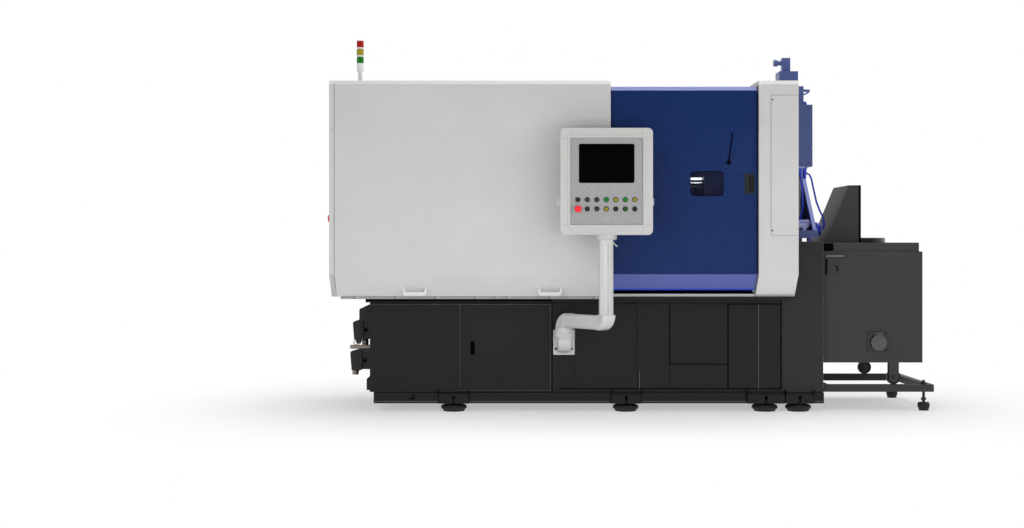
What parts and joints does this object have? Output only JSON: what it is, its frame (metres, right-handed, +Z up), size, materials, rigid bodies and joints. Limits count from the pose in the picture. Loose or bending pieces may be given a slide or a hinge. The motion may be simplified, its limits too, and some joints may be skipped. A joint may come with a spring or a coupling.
{
  "type": "hot chamber die casting machine",
  "caption": "Hot chamber die casting machine with guard covers, sliding safety door, swivel control panel, vertical injection unit and a pot furnace on rails.",
  "frame": {"origin": "middle of the footprint's box on the floor", "axes": "+X from the clamp end to the furnace end, +Y from the operator's side to the back, +Z up"},
  "size_m": [3.712, 1.7532, 2.284],
  "materials": {
    "amber_lens": "ribbed amber lens",
    "black_paint": "satin black structure paint",
    "black_plastic": "moulded black",
    "black_steel": "black coated steel",
    "chromed_steel": "ground and chromed",
    "clear_pane": "clear polycarbonate",
    "foot_rubber": "moulded black rubber and steel",
    "furnace_grey": "matt heat-resistant charcoal paint",
    "green_lens": "ribbed green lens",
    "grey_paint": "grey powder coat",
    "grey_plastic": "moulded dark grey",
    "hammered_blue": "hammered dark blue powder coat",
    "machine_blue": "satin machine blue enamel",
    "panel_grey": "speckled grey panel coat",
    "red_lens": "ribbed red lens",
    "red_plastic": "moulded signal red",
    "screen_glass": "dark display glass",
    "wheel_steel": "turned steel",
    "white_paint": "fine-textured warm white powder coat",
    "white_plastic": "smooth white coated aluminium"
  },
  "bodies": {
    "root": {"base_frame": "black_paint", "base_panels": "black_paint", "end_pedestal": "black_paint", "levelling_feet": "foot_rubber", "hydraulic_cabinet": "black_paint", "end_connectors": "black_plastic", "end_stop_button": "red_plastic", "guard_front": "white_paint", "guard_end": "white_paint", "guard_rear": "white_paint", "cover_rail": "grey_paint", "grab_handles": "white_plastic", "column_cover": "white_paint", "column_access_panel": "white_paint", "rear_guard": "hammered_blue", "door_rails": "white_paint", "tie_bars": "chromed_steel", "fixed_platen": "machine_blue", "clamp_platens": "machine_blue", "arm_bracket": "white_plastic", "tower_stem": "white_plastic", "tower_red": "red_lens", "tower_amber": "amber_lens", "tower_green": "green_lens", "injection_frame": "machine_blue", "injection_cylinder": "machine_blue", "injection_rods": "chromed_steel", "injection_pipes": "machine_blue", "rail_frame": "black_paint"},
    "safety_door": {"safety_door": "hammered_blue", "door_window": "clear_pane", "door_pull": "grey_plastic", "door_rod": "black_steel"},
    "cabinet_door": {"hydraulic_door": "black_paint"},
    "arm": {"swivel_arm": "white_plastic", "clamp_lever": "white_plastic"},
    "panel": {"panel_housing": "white_plastic", "panel_plate": "panel_grey", "panel_screen": "screen_glass", "panel_buttons": "black_plastic"},
    "furnace": {"furnace_body": "furnace_grey", "furnace_hood": "furnace_grey"},
    "near_wheel": {"near_wheel": "wheel_steel"},
    "far_wheel": {"far_wheel": "wheel_steel"},
    "rear_wheels": {"rear_wheelset": "wheel_steel"}
  },
  "joints": [
    {"name": "safety_door_slide", "type": "slide", "parent": "root", "child": "safety_door", "axis": [-1, 0, 0], "range_m": [0, 0.8]},
    {"name": "cabinet_door_hinge", "type": "hinge", "parent": "root", "child": "cabinet_door", "pos_m": [-0.507, -0.32742, 0.4], "axis": [0, 0, 1], "range_deg": [0, 90]},
    {"name": "arm_swivel", "type": "hinge", "parent": "root", "child": "arm", "pos_m": [-0.423, -0.42642, 0.5], "axis": [0, 0, 1], "range_deg": [-42, 8]},
    {"name": "panel_swivel", "type": "hinge", "parent": "arm", "child": "panel", "pos_m": [-0.19178, -0.78658, 1.08], "axis": [0, 0, 1], "range_deg": [-27, 15]},
    {"name": "furnace_roll", "type": "slide", "parent": "root", "child": "furnace", "axis": [1, 0, 0], "range_m": [0, 0.12]},
    {"name": "near_wheel_spin", "type": "hinge", "parent": "furnace", "child": "near_wheel", "pos_m": [1.611, -0.25242, 0.2043], "axis": [0, 1, 0], "range_deg": [-200, 200]},
    {"name": "far_wheel_spin", "type": "hinge", "parent": "furnace", "child": "far_wheel", "pos_m": [1.611, 0.55958, 0.2043], "axis": [0, 1, 0], "range_deg": [-200, 200]},
    {"name": "rear_wheel_spin", "type": "hinge", "parent": "furnace", "child": "rear_wheels", "pos_m": [1.091, 0.15358, 0.2043], "axis": [0, 1, 0], "range_deg": [-200, 200]}
  ],
  "couplings": [
    {"joint": "near_wheel_spin", "follows": "furnace_roll", "rad_per_m": 22.727},
    {"joint": "far_wheel_spin", "follows": "furnace_roll", "rad_per_m": 22.727},
    {"joint": "rear_wheel_spin", "follows": "furnace_roll", "rad_per_m": 22.727}
  ]
}
